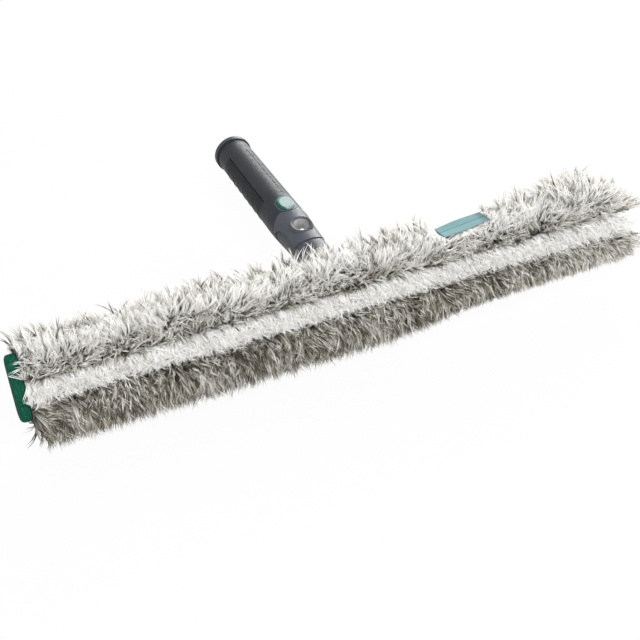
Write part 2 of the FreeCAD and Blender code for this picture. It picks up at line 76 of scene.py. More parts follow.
# Sleeve, as in the solids
BAR_ROLL = math.radians(28)
FLAT_HALF = 14.0
BACKING_RADIUS = 9.5
PILE_HEIGHT = 14.5
PILE_SAG = 7.0  # the pile hangs lower than the bar by this much
STRIPE_HALF = 7.4
STRIPE_SHIFT = -3.0
FOOT_HALF_LENGTH = 33.0
FOOT_HALF_HEIGHT = 17.0
FOOT_LIFT = 3.4  # the cloth and its fur ride over the neck's foot
NECK_RADIUS = 13.1
CLOSURE_START = 33.6
CLOSURE_LENGTH = 176.0
CLOSURE_HALF = 8.0
CLOSURE_LAYER = 1.2
CLOSURE_GAP = 0.6
PAD_THICKNESS = 8.0
LABEL_START = 81.0
LABEL_LENGTH = 38.5
LABEL_WIDTH = 16.6
LABEL_THICKNESS = 0.8
LABEL_MIDDLE = (-4.9, 26.1)  # out of the bar's back, and up
LABEL_TILT = math.radians(18.2)
LABEL_RISE = 2.0  # the right end lies higher than the middle by this much, and the left end lower
EVEN_RADIUS = 15.0  # tufts are spread evenly at this radius, about half way up the pile

# Lamps and sky
Lamp = namedtuple("Lamp", "name place aim size power")
LAMPS = (
    Lamp("key", (-0.19, -1.2, 1.2), (0, -0.2, 0), 0.9, 26),
    Lamp("rim", (0.95, 0.85, 0.5), (0, -0.15, 0), 1.2, 29),
)
SKY_TINT = (0.95, 0.97, 1.0)
SKY_STRENGTH = 0.55
BACKDROP_TINT = (1.0, 1.0, 1.0)
BACKDROP_STRENGTH = 1.0

# Floor
FLOOR_HALF = 3.0
FLOOR_CUTS = 2
FLOOR_GAP = 0.012  # between the floor and the lowest point of the solids
FLOOR_WHITE_SHARE = 0.95  # how much of the seen floor is plain white; the rest takes the shadow
FLOOR_TINTS = ((0.4, (0.60, 0.60, 0.60)), (0.6, (0.62, 0.62, 0.62)))
FLOOR_MOTTLE = 8.0
FLOOR_ROUGH = 0.9

# Finishes of the rigid nodes
PLASTIC_LOOK = (2200.0, 0.015, 0.25, 0.0)  # grain, relief, shine and metallic, where nothing else is said
METAL_LOOK = (900.0, 0.04, 0.5, 1.0)
Finish = namedtuple("Finish", "nodes dark light rough grain relief shine metallic", defaults=PLASTIC_LOOK)
FINISHES = {
    "charcoal_plastic": Finish(
        ("handle_body", "rear_cap"), (0.012, 0.0145, 0.0185), (0.019, 0.022, 0.028), 0.5
    ),
    # The grip's tint is darker than the handle's charcoal as painted shade, for the shade on its left flank
    "grip_rubber": Finish(
        ("grip_overmould",), (0.006, 0.007, 0.008), (0.010, 0.011, 0.013), 0.52, 1400.0, 0.01, 0.18
    ),
    "slate_plastic": Finish(
        ("front_cover", "button_bezel"), (0.053, 0.059, 0.070), (0.067, 0.073, 0.086), 0.46
    ),
    "neck_plastic": Finish(("swivel_neck",), (0.044, 0.049, 0.057), (0.056, 0.062, 0.071), 0.46),
    "collar_plastic": Finish(("end_collar",), (0.030, 0.032, 0.037), (0.042, 0.044, 0.050), 0.42),
    "plug_plastic": Finish(
        ("end_plug_left", "end_plug_right"), (0.02, 0.02, 0.022), (0.03, 0.03, 0.033), 0.5
    ),
    "washer_plastic": Finish(("swivel_washers",), (0.62, 0.60, 0.55), (0.70, 0.68, 0.63), 0.4),
    # The badge's tint spreads from dark to light in broad blotches, painted reflections in its chrome
    "badge_chrome": Finish(("badge_disc",), (0.10, 0.097, 0.09), (0.62, 0.62, 0.61), 0.08, *METAL_LOOK),
    "fastener_steel": Finish(
        ("pivot_bolt", "pivot_nut", "lock_plate", "lock_spring", "foot_screws", "nut_plate"),
        (0.50, 0.50, 0.51), (0.60, 0.60, 0.61), 0.32, *METAL_LOOK,
    ),
    "bar_aluminium": Finish(("bar_profile",), (0.62, 0.63, 0.64), (0.70, 0.71, 0.72), 0.38, *METAL_LOOK),
}
MOTTLE = 60.0  # noise scale of the slow changes of tint
GLOSS_MOTTLE = 300.0
MOTTLE_STOPS = (0.3, 0.7)  # noise values of the dark and the light tint
GLOSS_SHARES = (0.88, 1.12)
GRAIN_DEPTH = 0.0002
NOISE_DETAIL = 3.0
RAMP_MIDDLE = 0.5  # where a ramp gets its further stops before they are placed

# Button, with painted shade
INLAY_FINISH = Finish(("pole_lock_button",), (0.20, 0.275, 0.265), (0.24, 0.32, 0.305), 0.35, 3000.0, 0.02)
# The mint face is set off towards the lower right, so that the dark green left at its upper left is painted
# shade on the button's wall
SHADE_CRESCENT_SHIFT_SHARES = (0.17, -0.17, 0.0)  # off the middle, of the button's halves
INLAY_EDGE_SHARES = (0.82, 0.9)  # of the halves, between which the inlay fades out
# Dark green that shows only as that painted shade
BUTTON_SHADE_TINT = (0.004, 0.11, 0.075)

# Cloth
Weave = namedtuple("Weave", "dark light pitch")
BACKING_WEAVE = Weave((0.30, 0.29, 0.27), (0.52, 0.50, 0.47), 0.8)
LOOP_WEAVE = Weave((0.10, 0.10, 0.10), (0.20, 0.20, 0.20), 0.5)
HOOK_WEAVE = Weave((0.06, 0.06, 0.06), (0.13, 0.13, 0.13), 0.9)
FLAP_WEAVE = Weave((0.26, 0.25, 0.23), (0.46, 0.44, 0.41), 0.8)
WAVE_FACTOR = 20  # the wave texture's own factor on its scale
THREAD_BEND = 0.6
THREAD_STOPS = (0.1, 0.6)
CLOTH_BLOTCH = 400.0
CLOTH_ROUGH = 0.85
CLOTH_SHEEN = 0.2
CLOTH_RELIEF = 0.5
CLOTH_DEPTH = 0.0003

# Backing and closure
BACKING_SKIN = 0.2  # the tube lies this far inside the roots of the fur
BACKING_COLUMNS = 200
BACKING_ROWS = 96
BACK_SHARE = 0.99  # a normal this near to straight back is on the back's flat
NECK_GAP = 2.0  # round the neck there is no cloth and no fur
TAPE_COLUMNS = 60
TAPE_ROWS = 24
TAPE_EDGE = 0.25  # exponent that gives the tape its square edges
TAPE_SHARE = 0.85  # of a layer's thickness
TAPE_RIPPLE = 0.06
TAPE_RIPPLE_LENGTH = 6.0

# Pads
FLEECE_TINTS = (
    (0.35, (0.003, 0.045, 0.027)),
    (0.55, (0.006, 0.085, 0.050)),
    (0.75, (0.012, 0.15, 0.09)),
)
FLEECE_MAT = 900.0
FLEECE_LUMPS = 1500.0
FLEECE_DETAIL = 6.0
FLEECE_ROUGH = 0.95
FLEECE_SHINE = 0.15
FLEECE_RELIEF = 1.0
FLEECE_DEPTH = 0.0008
PAD_EDGE = 1.6  # rounding of the edge beside the fur
PAD_OUTER_EDGE = 3.0  # and of the outer edge
PAD_EDGE_STEPS = 5
PAD_FACE_STEPS = 6
PAD_CORE = 0.5  # radius at which the faces are closed
PAD_ROWS = 120
PAD_LUMP = 0.12  # height of the lumps
PAD_LUMP_LENGTH = 5.0
PAD_LUMP_STRETCH = 2  # the lumps are shorter along the bar by this factor

# Label
# The dark stop at the fold is painted shade in the crease; the other stops are the tape's teal
LABEL_TINTS_AND_FOLD_SHADE = (  # across the label, with its fold in the middle
    (0.0, (0.135, 0.255, 0.26)),
    (0.47, (0.142, 0.27, 0.285)),
    (0.5, (0.06, 0.152, 0.165)),
    (0.53, (0.126, 0.25, 0.265)),
    (1.0, (0.112, 0.236, 0.25)),
)
LABEL_SHADES = ((0.0, 0.9), (0.06, 1.0), (0.8, 0.95), (1.0, 0.28))  # along the label
LABEL_ROUGH = 0.8
LABEL_THREADS = 2600.0
LABEL_DETAIL = 5.0
LABEL_COLUMNS = 40
LABEL_ROWS = 33
LABEL_CREASE = 0.5
LABEL_CREASE_WIDTH = 0.7
LABEL_WAVE = 0.8
LABEL_WAVE_LENGTH = 7.0
LABEL_MARGIN = 8.0  # beside the label the pressed fur rises over this distance
LABEL_DEPTH = 2.5  # the pressed fur lies up to this far below the label
LABEL_LEAD = 3.0  # the fur stays low this far in front of the label
LABEL_FRONT = 5.0  # and rises again over this distance
LABEL_REAR_DROP = 1.0  # how far the fur falls for each millimetre behind the label

# Fur: a tint of 0 is the darkest and 1 the lightest, and what passes them is clipped;
# leans are for each millimetre of height
Band = namedtuple(
    "Band",
    "name node slot material low high "
    "step radius tip_share width unrest tangle leans flares tints right_tint",
)
PLACES = (7.0, 18.0, 26.0, 40.0, 75.0)  # distances from the stripe's middle, round the section
STRIPE_FUR = {
    "step": (1.5, 1.5),  # between locks, along the bar and round the section
    "radius": 0.95,  # of a lock at its root
    "tip_share": 0.6,  # the tip's radius as a share of the root's
    "width": 0.9,  # of a strand
    "unrest": 0.15,  # how far the whorls turn its locks
    "tangle": 0.3,  # how far each lock leans its own way
    "leans": None,  # the white tips go to STRIPE_TIP_SHARES instead
    "flares": (0.1, 1.4),  # outward leans at the left and the right end
    "tints": (0.5,) * len(PLACES),
    "right_tint": 0.0,  # added towards the right end
}
UPPER_FUR = {
    "step": (1.0, 2.6),
    "radius": 0.8,
    "tip_share": 0.55,
    "width": 0.85,
    "unrest": 1.0,
    "tangle": 0.3,
    "leans": (0.25, 0.42, 0.43, 0.33, 0.1),
    "flares": (0.15, 1.3),
    # Tints round the section are partly painted light and shade: lightest on the upper front, and darker
    # just beside the stripe where shade falls in the parting
    "tints": (0.45, 1.08, 1.25, 0.65, 0.7),
    "right_tint": 0.0,
}
LOWER_FUR = {
    "step": (1.0, 2.6),
    "radius": 0.8,
    "tip_share": 0.55,
    "width": 0.85,
    "unrest": 0.8,
    "tangle": 0.3,
    "leans": (0.25, 0.42, 0.47, 0.47, 0.1),
    "flares": (-0.7, 1.2),
    # Darker tints on the lower band are painted shade of the underside, darkest at the bottom
    "tints": (0.31, 0.28, 0.22, 0.12, 0.3),
    "right_tint": 0.25,
}
GREY_TINTS = (
    (0.0, (0.10, 0.088, 0.062)),
    (0.3, (0.40, 0.37, 0.30)),
    (0.6, (0.82, 0.79, 0.73)),
    (1.0, (0.97, 0.96, 0.935)),
)
# Painted shade: each grey fibre darkens towards its root, where the shade between the strands falls; pairs
# of a place up the fibre and a shade
GREY_ROOT_SHADE = ((0.2, 0.2), (0.6, 0.75), (0.9, 1.0))
WHITE_TINTS = ((0.0, (0.90, 0.89, 0.865)), (1.0, (0.955, 0.945, 0.925)))
# Painted shade at the roots of the white fibres, slighter
WHITE_ROOT_SHADE = ((0.2, 0.9), (0.7, 1.0))
FIBRE_ROUGH = 0.75
FIBRE_SHINE = 0.25
FIBRE_THROUGH_SHARE = 0.2  # of the light goes through a fibre
STRANDS = 5  # in a lock
STRAND_POINTS = 5
STRIPE_TIP_SHARES = (-1.25, 0.38)  # of half the stripe, between which the white tips end
STRIPE_PLACES = (110.0, 240.0)  # between these the stripe's tips spread
STRIPE_SHARES = (1.0, 1.5)
RIGHT_PLACES = (120.0, 190.0)  # between these the right end's tint sets in
FACING = 1.5  # how far the strands of a lock turn from its own round to the pile's outside
JITTER_SHARE = 0.3  # of the step
FIRST_SHARE = 0.25  # of a step lies before the first lock of every other row
REACH_SHARES = (0.7, 1.1)
STRAND_SHARES = (0.86, 1.08)
LENGTH_SHARES = (0.85, 1.1)
WIDTH_SHARES = (0.7, 1.15)
WISP_SHARE = 0.2  # of the locks on the crest
WISP_LENGTHS = (3.0, 13.0)  # past the other locks
WISP_TINT = -0.05
TUFT_PLACE = 192.0  # where the crest has more wisps
TUFT_WIDTH = 16.0
TUFT_SHARE = 0.4
TUFT_LENGTH = 8.0
TOP_LIMITS = (0.039, 0.042)  # strands end below a height between these, in metres
WAVE_COUNT = 7
WAVE_SHARES = (0.7, 1.5)  # shortest and longest wave, as shares of the length that is asked for
WHORL = 0.18  # lean in the wide whorls
WHORL_LENGTH = 28.0
TWIRL = 0.12  # and in the narrow ones
TWIRL_LENGTH = 9.0
LOCK_TINT = 0.34  # spread of the tint between locks
STRAND_TINT = 0.13  # between the strands of a lock
PATCH_TINT = 0.05  # and between patches of the fur
PATCH_LENGTH = 40.0
FLARE_LENGTH = 26.0  # the flares set in this far from the sleeve's ends
FLARE_BEND = 1.5  # exponent of their growth
FLARE_SHARES = (0.5, 1.3)
HANG_PLACES = (30.0, 95.0, 180.0)  # the lower fur hangs less towards the right
HANG_SHARES = (1.3, 0.0, -0.2)
END_LENGTH = 30.0
END_DROP_SHARE = 0.5  # of the crest's height is lost at the right end
STRAY = 0.06  # how far a strand leans away from its lock
CURL = 0.5  # how far a lock bows aside
GATHER = 0.8  # exponent of a lock's narrowing
LEAN_BEND = 2.6  # exponent of a lock's lean over its height
RIBBON_TAPER = 0.35  # exponent of a strand's narrowing
MOST_TRIANGLES = 190_000  # in one piece
UV_HALF_WIDTH = 0.003  # half of a strand's width on the bake map
UV_START = 0.02  # the map's margin
UV_RISE = 0.96  # and what is used between the margins

random = np.random.default_rng(SEED)
bar_low, bar_high = (np.array(corner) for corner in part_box("bar_profile"))
BAR_CENTRE = (bar_low + bar_high) / 2
SLEEVE_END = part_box("sleeve_backing")[1].x / MM


def to_frame(points):
    """Bar coordinates in millimetres into the frame in metres."""
    along, back, up = points[..., 0], points[..., 1], points[..., 2]
    y = back * math.cos(BAR_ROLL) + up * math.sin(BAR_ROLL)
    z = up * math.cos(BAR_ROLL) - back * math.sin(BAR_ROLL)
    return BAR_CENTRE + np.stack([along, y, z], axis=-1) * MM


def girth(radius=EVEN_RADIUS):
    """Length round the section at a radius."""
    return 4 * FLAT_HALF + 2 * math.pi * radius


def section(place):
    """Centres and normals round the sleeve's section, at distances from the middle of the front, upward."""
    place = np.mod(place, girth())
    arc = math.pi * EVEN_RADIUS
    top_turn = np.clip((place - FLAT_HALF) / EVEN_RADIUS, 0, math.pi)
    low_turn = np.clip((place - 3 * FLAT_HALF - arc) / EVEN_RADIUS, 0, math.pi)
    turn = top_turn + low_turn
    normal = np.stack([-np.cos(turn), np.sin(turn)], axis=-1)
    past_top = place - FLAT_HALF - arc
    past_low = place - 3 * FLAT_HALF - 2 * arc
    up = np.minimum(place, FLAT_HALF)
    up = up - np.clip(past_top, 0, 2 * FLAT_HALF)
    up = up + np.clip(past_low, 0, FLAT_HALF)
    centre = np.stack([np.zeros_like(up), up], axis=-1)
    return centre, normal


def waves(along, place, length):
    """Smooth seeded noise over the sleeve, about one in size."""
    total = np.zeros_like(along)
    for _ in range(WAVE_COUNT):
        angle = random.uniform(0, 2 * math.pi)
        pitch = 2 * math.pi / (length * random.uniform(*WAVE_SHARES))
        shift = random.uniform(0, 2 * math.pi)
        total += np.sin(pitch * (along * math.cos(angle) + place * math.sin(angle)) + shift)
    return total / math.sqrt(WAVE_COUNT / 2)


def link(name, mesh, material, node):
    """Make a piece of a mesh on the T-bar, with its material and the node that it stands for."""
    piece = bpy.data.objects.new(name, mesh)
    bpy.context.scene.collection.objects.link(piece)
    mesh.materials.append(material)
    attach(piece, "t_bar")
    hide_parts(node)
    return piece


def triangle_mesh(name, points, triangles, corner_uv):
    """A smooth mesh from arrays of points and triangles, with its bake map."""
    mesh = bpy.data.meshes.new(name)
    mesh.vertices.add(len(points))
    mesh.vertices.foreach_set("co", points.astype(np.float32).ravel())
    mesh.loops.add(triangles.size)
    mesh.loops.foreach_set("vertex_index", triangles.astype(np.int32).ravel())
    mesh.polygons.add(len(triangles))
    mesh.polygons.foreach_set("loop_start", np.arange(0, triangles.size, 3, dtype=np.int32))
    mesh.polygons.foreach_set("use_smooth", np.ones(len(triangles), dtype=bool))
    layer = mesh.uv_layers.new(name=BAKE_MAP)
    layer.uv.foreach_set("vector", corner_uv[triangles.ravel()].astype(np.float32).ravel())
    mesh.update(calc_edges=True)
    return mesh


def ribbon_mesh(name, spines, aside, width, shade):
    """Tapered ribbons along spines of points, each widened aside; shade places each across the bake map."""
    count, points = spines.shape[:2]
    share = np.linspace(0, 1, points)
    taper = (1 - share[:-1]) ** RIBBON_TAPER
    half = (width[:, None] * taper / 2)[..., None] * aside[:, None, :]
    left = spines[:, :-1] - half
    right = spines[:, :-1] + half
    pairs = np.stack([left, right], axis=2).reshape(count, -1, 3)
    vertices = np.concatenate([pairs, spines[:, -1:]], axis=1)
    each = vertices.shape[1]
    pattern = []
    for a in range(0, 2 * (points - 2), 2):
        pattern += [(a, a + 1, a + 3), (a, a + 3, a + 2)]
    pattern.append((each - 3, each - 2, each - 1))
    triangles = (np.arange(count)[:, None, None] * each + np.array(pattern)).reshape(-1, 3)
    across = np.concatenate([np.tile([-1, 1], points - 1), [0]]) * UV_HALF_WIDTH
    rise = np.concatenate([np.repeat(share[:-1], 2), [1]])
    shade = np.clip(shade, UV_HALF_WIDTH, 1 - UV_HALF_WIDTH)
    uv = np.stack(np.broadcast_arrays(shade[:, None] + across, rise * UV_RISE + UV_START), axis=-1)
    return triangle_mesh(name, vertices.reshape(-1, 3), triangles, uv.reshape(-1, 2))


def grid_mesh(name, points, close_rows=False, keep=None):
    """A smooth mesh over a grid of points; keep says which of its squares stay."""
    rows, columns = points.shape[:2]
    index = np.arange(rows * columns).reshape(rows, columns)
    if close_rows:
        index = np.concatenate([index, index[:1]])
    corners = (index[:-1, :-1], index[:-1, 1:], index[1:, 1:], index[1:, :-1])
    squares = np.stack(corners, axis=-1)
    if keep is not None:
        squares = squares[keep]
    mesh = bpy.data.meshes.new(name)
    mesh.from_pydata(points.reshape(-1, 3).tolist(), [], squares.reshape(-1, 4).tolist())
    mesh.shade_smooth()
    return mesh


def add_face(mesh, loop):
    """Close a loop of a mesh's vertices with a face."""
    edit = bmesh.new()
    edit.from_mesh(mesh)
    edit.verts.ensure_lookup_table()
    edit.faces.new([edit.verts[k] for k in loop])
    edit.to_mesh(mesh)
    edit.free()


# Materials

def new_material(name):
    """A material with its nodes, its links and its shader."""
    material = bpy.data.materials.new(name)
    material.use_nodes = True
    nodes = material.node_tree.nodes
    return material, nodes, material.node_tree.links, nodes["Principled BSDF"]


def ramp(nodes, links, value, stops):
    """Colours along a value, from pairs of a place and a colour."""
    node = nodes.new("ShaderNodeValToRGB")
    elements = node.color_ramp.elements
    while len(elements) < len(stops):
        elements.new(RAMP_MIDDLE)
    for element, (place, colour) in zip(elements, stops):
        element.position = place
        element.color = (*colour, 1)
    links.new(value, node.inputs["Fac"])
    return node.outputs["Color"]


def greys(stops):
    """Stops of a ramp from pairs of a place and a shade of grey."""
    return [(place, (shade,) * 3) for place, shade in stops]


def noise(nodes, links, scale, detail=NOISE_DETAIL):
    """Noise over the object."""
    coordinates = nodes.new("ShaderNodeTexCoord")
    texture = nodes.new("ShaderNodeTexNoise")
    texture.inputs["Scale"].default_value = scale
    texture.inputs["Detail"].default_value = detail
    links.new(coordinates.outputs["Object"], texture.inputs["Vector"])
    return texture.outputs["Fac"]


def calculate(nodes, links, operation, first, second):
    """One number from two."""
    node = nodes.new("ShaderNodeMath")
    node.operation = operation
    links.new(first, node.inputs[0])
    links.new(second, node.inputs[1])
    return node.outputs["Value"]


def multiply(nodes, links, first, second):
    """The product of two colours."""
    mix = nodes.new("ShaderNodeMix")
    mix.data_type = "RGBA"
    mix.blend_type = "MULTIPLY"
    mix.inputs["Factor"].default_value = 1.0
    links.new(first, mix.inputs["A"])
    links.new(second, mix.inputs["B"])
    return mix.outputs["Result"]


def map_places(nodes, links):
    """The two coordinates of the bake map."""
    bake_map = nodes.new("ShaderNodeUVMap")
    bake_map.uv_map = BAKE_MAP
    parts = nodes.new("ShaderNodeSeparateXYZ")
    links.new(bake_map.outputs["UV"], parts.inputs["Vector"])
    return parts.outputs["X"], parts.outputs["Y"]


def bump(nodes, links, shader, height, strength, distance):
    """Relief from a height."""
    node = nodes.new("ShaderNodeBump")
    node.inputs["Strength"].default_value = strength
    node.inputs["Distance"].default_value = distance
    links.new(height, node.inputs["Height"])
    links.new(node.outputs["Normal"], shader.inputs["Normal"])


def moulded(name, finish):
    """Plastic or metal: a fine grain and slow changes of tint and gloss."""
    material, nodes, links, shader = new_material(name)
    tints = list(zip(MOTTLE_STOPS, (finish.dark, finish.light)))
    tint = ramp(nodes, links, noise(nodes, links, MOTTLE), tints)
    links.new(tint, shader.inputs["Base Color"])
    shades = [finish.rough * share for share in GLOSS_SHARES]
    gloss = ramp(nodes, links, noise(nodes, links, GLOSS_MOTTLE), greys(zip(MOTTLE_STOPS, shades)))
    links.new(gloss, shader.inputs["Roughness"])
    shader.inputs["Specular IOR Level"].default_value = finish.shine
    shader.inputs["Metallic"].default_value = finish.metallic
    bump(nodes, links, shader, noise(nodes, links, finish.grain), finish.relief, GRAIN_DEPTH)
    return material


def button_with_painted_shade():
    """Pale mint plastic with painted shade: the mint face is set to one side, and dark green at its upper
    left stands in for the shade on the button's wall.
    """
    low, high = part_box("pole_lock_button")
    half = (high - low) / 2
    middle = (high + low) / 2 + Vector(SHADE_CRESCENT_SHIFT_SHARES) * half
    material = moulded("button_plastic", INLAY_FINISH)
    nodes, links = material.node_tree.nodes, material.node_tree.links
    shader = nodes["Principled BSDF"]
    mint = shader.inputs["Base Color"].links[0].from_socket
    surface = nodes.new("ShaderNodeTexCoord")
    place = nodes.new("ShaderNodeMapping")
    scale = Vector((1 / half.x, 1 / half.y, 0))
    place.inputs["Scale"].default_value = scale
    place.inputs["Location"].default_value = -middle * scale
    links.new(surface.outputs["Object"], place.inputs["Vector"])
    reach = nodes.new("ShaderNodeVectorMath")
    reach.operation = "LENGTH"
    links.new(place.outputs["Vector"], reach.inputs[0])
    # Past the mint face's edge the dark green of the painted shade shows
    face = ramp(nodes, links, reach.outputs["Value"], greys(zip(INLAY_EDGE_SHARES, (1, 0))))
    mix = nodes.new("ShaderNodeMix")
    mix.data_type = "RGBA"
    links.new(face, mix.inputs["Factor"])
    mix.inputs["A"].default_value = (*BUTTON_SHADE_TINT, 1)
    links.new(mint, mix.inputs["B"])
    links.new(mix.outputs["Result"], shader.inputs["Base Color"])
    return material


def fibre(name, tints, root_shades):
    """Fur fibres: one tint for each fibre, with painted shade that darkens it towards its root."""
    material, nodes, links, shader = new_material(name)
    across, rise = map_places(nodes, links)
    tint = ramp(nodes, links, across, tints)
    depth = ramp(nodes, links, rise, greys(root_shades))
    colour = multiply(nodes, links, tint, depth)
    links.new(colour, shader.inputs["Base Color"])
    shader.inputs["Roughness"].default_value = FIBRE_ROUGH
    shader.inputs["Specular IOR Level"].default_value = FIBRE_SHINE
    through = nodes.new("ShaderNodeBsdfTranslucent")
    links.new(colour, through.inputs["Color"])
    blend = nodes.new("ShaderNodeMixShader")
    blend.inputs["Fac"].default_value = FIBRE_THROUGH_SHARE
    links.new(shader.outputs["BSDF"], blend.inputs[1])
    links.new(through.outputs["BSDF"], blend.inputs[2])
    links.new(blend.outputs["Shader"], nodes["Material Output"].inputs["Surface"])
    return material


def cloth(name, weave):
    """Woven cloth: crossed threads by two wave textures, with a mottled tint."""
    material, nodes, links, shader = new_material(name)
    coordinates = nodes.new("ShaderNodeTexCoord")
    threads = []
    for direction in ("X", "Y"):
        wave = nodes.new("ShaderNodeTexWave")
        wave.bands_direction = direction
        wave.inputs["Scale"].default_value = 1 / (weave.pitch * MM) / WAVE_FACTOR
        wave.inputs["Distortion"].default_value = THREAD_BEND
        links.new(coordinates.outputs["Object"], wave.inputs["Vector"])
        threads.append(wave.outputs["Fac"])
    height = calculate(nodes, links, "MAXIMUM", *threads)
    shade = calculate(nodes, links, "MULTIPLY", height, noise(nodes, links, CLOTH_BLOTCH))
    tint = ramp(nodes, links, shade, list(zip(THREAD_STOPS, (weave.dark, weave.light))))
    links.new(tint, shader.inputs["Base Color"])
    shader.inputs["Roughness"].default_value = CLOTH_ROUGH
    shader.inputs["Sheen Weight"].default_value = CLOTH_SHEEN
    bump(nodes, links, shader, height, CLOTH_RELIEF, CLOTH_DEPTH)
    return material


def fleece():
    """Scouring fleece: matted dark green with lighter threads."""
    material, nodes, links, shader = new_material("pad_fleece")
    tint = ramp(nodes, links, noise(nodes, links, FLEECE_MAT, FLEECE_DETAIL), FLEECE_TINTS)
    links.new(tint, shader.inputs["Base Color"])
    shader.inputs["Roughness"].default_value = FLEECE_ROUGH
    shader.inputs["Specular IOR Level"].default_value = FLEECE_SHINE
    lumps = noise(nodes, links, FLEECE_LUMPS, FLEECE_DETAIL)
    bump(nodes, links, shader, lumps, FLEECE_RELIEF, FLEECE_DEPTH)
    return material


def label_weave():
    """Woven teal tape, with painted shade along its fold, and darker towards its right end."""
    material, nodes, links, shader = new_material("label_weave")
    along, across = map_places(nodes, links)
    fold = ramp(nodes, links, across, LABEL_TINTS_AND_FOLD_SHADE)
    end = ramp(nodes, links, along, greys(LABEL_SHADES))
    links.new(multiply(nodes, links, fold, end), shader.inputs["Base Color"])
    shader.inputs["Roughness"].default_value = LABEL_ROUGH
    threads = noise(nodes, links, LABEL_THREADS, LABEL_DETAIL)
    bump(nodes, links, shader, threads, CLOTH_RELIEF, CLOTH_DEPTH)
    return material


def dress(material, names):
    """Put a material on nodes of the frame."""
    for name in names:
        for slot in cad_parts[name].material_slots:
            slot.material = material


def dress_solids():
    """Materials for the rigid nodes."""
    for name, finish in FINISHES.items():
        dress(moulded(name, finish), finish.nodes)
    dress(button_with_painted_shade(), INLAY_FINISH.nodes)


# Sleeve

def foot_lift(along, back_share, up):
    """How far the sleeve is raised over the neck's foot on the back of the bar."""
    inside = np.minimum(FOOT_HALF_LENGTH - np.abs(along), FOOT_HALF_HEIGHT - np.abs(up))
    return FOOT_LIFT * np.clip(inside / FOOT_LIFT + 1, 0, 1) * (back_share > BACK_SHARE)


def make_backing():
    """The woven tube under the fur, with a round hole for the neck."""
    along = np.linspace(-SLEEVE_END, SLEEVE_END, BACKING_COLUMNS)
    place = np.arange(BACKING_ROWS) / BACKING_ROWS * girth()
    along, place = np.meshgrid(along, place)
    centre, normal = section(place)
    level = BACKING_RADIUS - BACKING_SKIN + foot_lift(along, normal[..., 0], centre[..., 1])
    flat = centre + normal * level[..., None]
    points = to_frame(np.concatenate([along[..., None], flat], axis=-1))
    from_axis = np.hypot(points[..., 0], points[..., 2]) / MM
    hole = (from_axis < NECK_RADIUS + NECK_GAP) & (normal[..., 0] > 0)
    squares_hole = hole | np.roll(hole, -1, axis=0)
    keep = ~(squares_hole[:, :-1] | squares_hole[:, 1:])
    mesh = grid_mesh("backing_tube", points, close_rows=True, keep=keep)
    material = cloth("backing_cloth", BACKING_WEAVE)
    tube = link("backing_tube", mesh, material, "sleeve_backing")
    flat = (girth(BACKING_RADIUS) * MM, 2 * SLEEVE_END * MM)


def tape(name, level, material, node):
    """One layer of the closure: a thin closed tape with a rounded edge and a slight wave."""
    along = np.linspace(-1, 1, TAPE_COLUMNS) * CLOSURE_LENGTH / 2
    along = along + CLOSURE_START + CLOSURE_LENGTH / 2
    turn = np.linspace(0, 2 * math.pi, TAPE_ROWS, endpoint=False)
    across = np.sign(np.cos(turn)) * np.abs(np.cos(turn)) ** TAPE_EDGE * CLOSURE_HALF
    thick = np.sin(turn) * CLOSURE_LAYER * TAPE_SHARE / 2
    along, across = np.meshgrid(along, across)
    ripple = TAPE_RIPPLE * np.sin(along / TAPE_RIPPLE_LENGTH + level)
    back = BACKING_RADIUS + level + CLOSURE_LAYER / 2 + thick[:, None] + ripple
    points = to_frame(np.stack([along, back, across], axis=-1))
    mesh = grid_mesh(name, points, close_rows=True)
    for column in (0, TAPE_COLUMNS - 1):
        cap = [row * TAPE_COLUMNS + column for row in range(TAPE_ROWS)]
        add_face(mesh, cap if column else cap[::-1])
    piece = link(name, mesh, material, node)


def make_closure():
    """The sleeve's hook-and-loop closure along its back."""
    loops = cloth("loop_tape", LOOP_WEAVE)
    hooks = cloth("hook_tape", HOOK_WEAVE)
    flap = cloth("flap_cloth", FLAP_WEAVE)
    tape("loop_tape", 0, loops, "closure_loop_strip")
    tape("hook_tape", CLOSURE_LAYER, hooks, "closure_hook_strip")
    tape("flap_tape", 2 * CLOSURE_LAYER, flap, "closure_flap")


def make_pads():
    """Scouring pads over the sleeve's ends: blocks of fleece with soft edges."""
    material = fleece()
    turn = np.linspace(0, math.pi / 2, PAD_EDGE_STEPS)
    near_inset = PAD_EDGE * (1 - np.sin(turn))
    near_depth = PAD_EDGE * (1 - np.cos(turn))
    far_inset = PAD_OUTER_EDGE * (1 - np.cos(turn))
    far_depth = PAD_THICKNESS - PAD_OUTER_EDGE * (1 - np.sin(turn))
    near_face = np.linspace(BACKING_RADIUS - PAD_CORE, PAD_EDGE, PAD_FACE_STEPS)[:-1]
    far_face = np.linspace(PAD_OUTER_EDGE, BACKING_RADIUS - PAD_CORE, PAD_FACE_STEPS)[1:]
    inset = np.concatenate([near_face, near_inset, far_inset, far_face])
    depth = np.concatenate([0 * near_face, near_depth, far_depth, 0 * far_face + PAD_THICKNESS])
    place = np.arange(PAD_ROWS) / PAD_ROWS * girth()
    centre, normal = section(place)
    radius = BACKING_RADIUS - inset
    even = centre[:, None, :] + normal[:, None, :] * radius[None, :, None]
    for side, name in ((-1, "left"), (1, "right")):
        along = np.broadcast_to(side * (SLEEVE_END + depth), even.shape[:2])
        lump = waves(place[:, None] + 0 * along, along * PAD_LUMP_STRETCH, PAD_LUMP_LENGTH) * PAD_LUMP
        flat = even + normal[:, None, :] * lump[..., None]
        points = to_frame(np.concatenate([along[..., None], flat], axis=-1))
        mesh = grid_mesh(f"fleece_{name}", points, close_rows=True)
        columns = points.shape[1]
        for column in (0, columns - 1):
            add_face(mesh, [row * columns + column for row in range(PAD_ROWS)])
        piece = link(f"fleece_{name}", mesh, material, f"scrub_pad_{name}")


